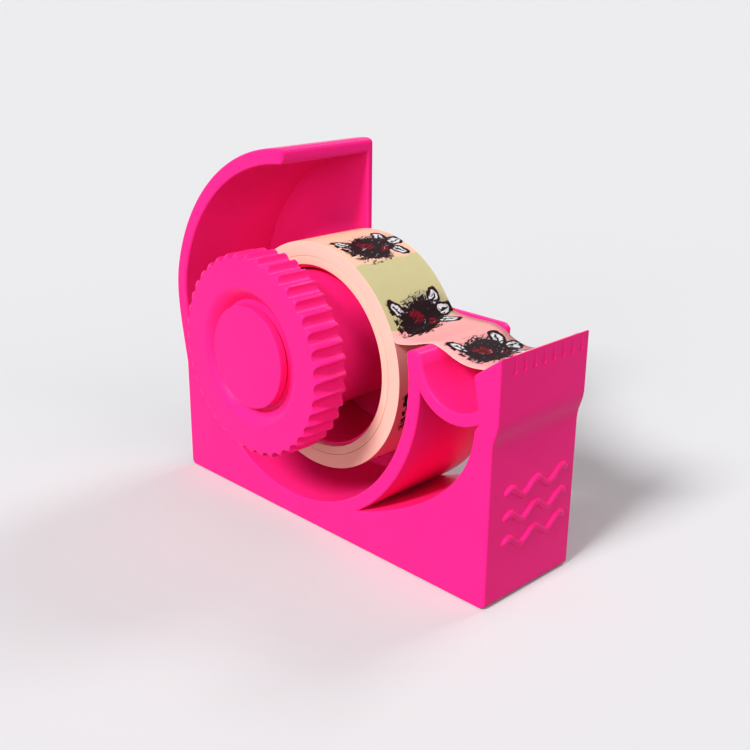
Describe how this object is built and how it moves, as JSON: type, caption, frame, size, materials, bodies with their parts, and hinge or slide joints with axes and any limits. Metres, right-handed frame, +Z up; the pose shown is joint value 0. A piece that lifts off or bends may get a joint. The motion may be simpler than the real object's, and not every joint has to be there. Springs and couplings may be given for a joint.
{
  "type": "washi tape dispenser",
  "caption": "Tabletop tape dispenser: a hooded moulded body cradles a narrow tape roll hung on a drum with a ridged knob, and a toothed edge cuts the tape.",
  "frame": {"origin": "centre of the body's flat bottom face", "axes": "+Z up; +X from the back of the dispenser towards the cutting edge; +Y from the knob's side towards the closed side"},
  "size_m": [0.0789, 0.031, 0.0655],
  "materials": {
    "pink_plastic": "satin hot pink moulded plastic",
    "core_card": "plain wound card",
    "washi_paper": "printed washi paper"
  },
  "bodies": {
    "body": {"body": "pink_plastic", "tape_end": "washi_paper"},
    "axle": {"axle_pin": "pink_plastic"},
    "knob": {"knob": "pink_plastic", "drum": "pink_plastic"},
    "roll": {"core_sleeve": "pink_plastic", "paper_core": "core_card", "tape_roll": "washi_paper"}
  },
  "joints": [
    {"name": "axle_pull", "type": "slide", "parent": "body", "child": "axle", "axis": [0, -1, 0], "range_m": [0, 0.022]},
    {"name": "knob_turn", "type": "hinge", "parent": "axle", "child": "knob", "pos_m": [-0.0071, 0, 0.03225], "axis": [0, 1, 0], "continuous": true},
    {"name": "roll_turn", "type": "hinge", "parent": "body", "child": "roll", "pos_m": [-0.00567, 0, 0.0295], "axis": [0, 1, 0], "continuous": true}
  ]
}
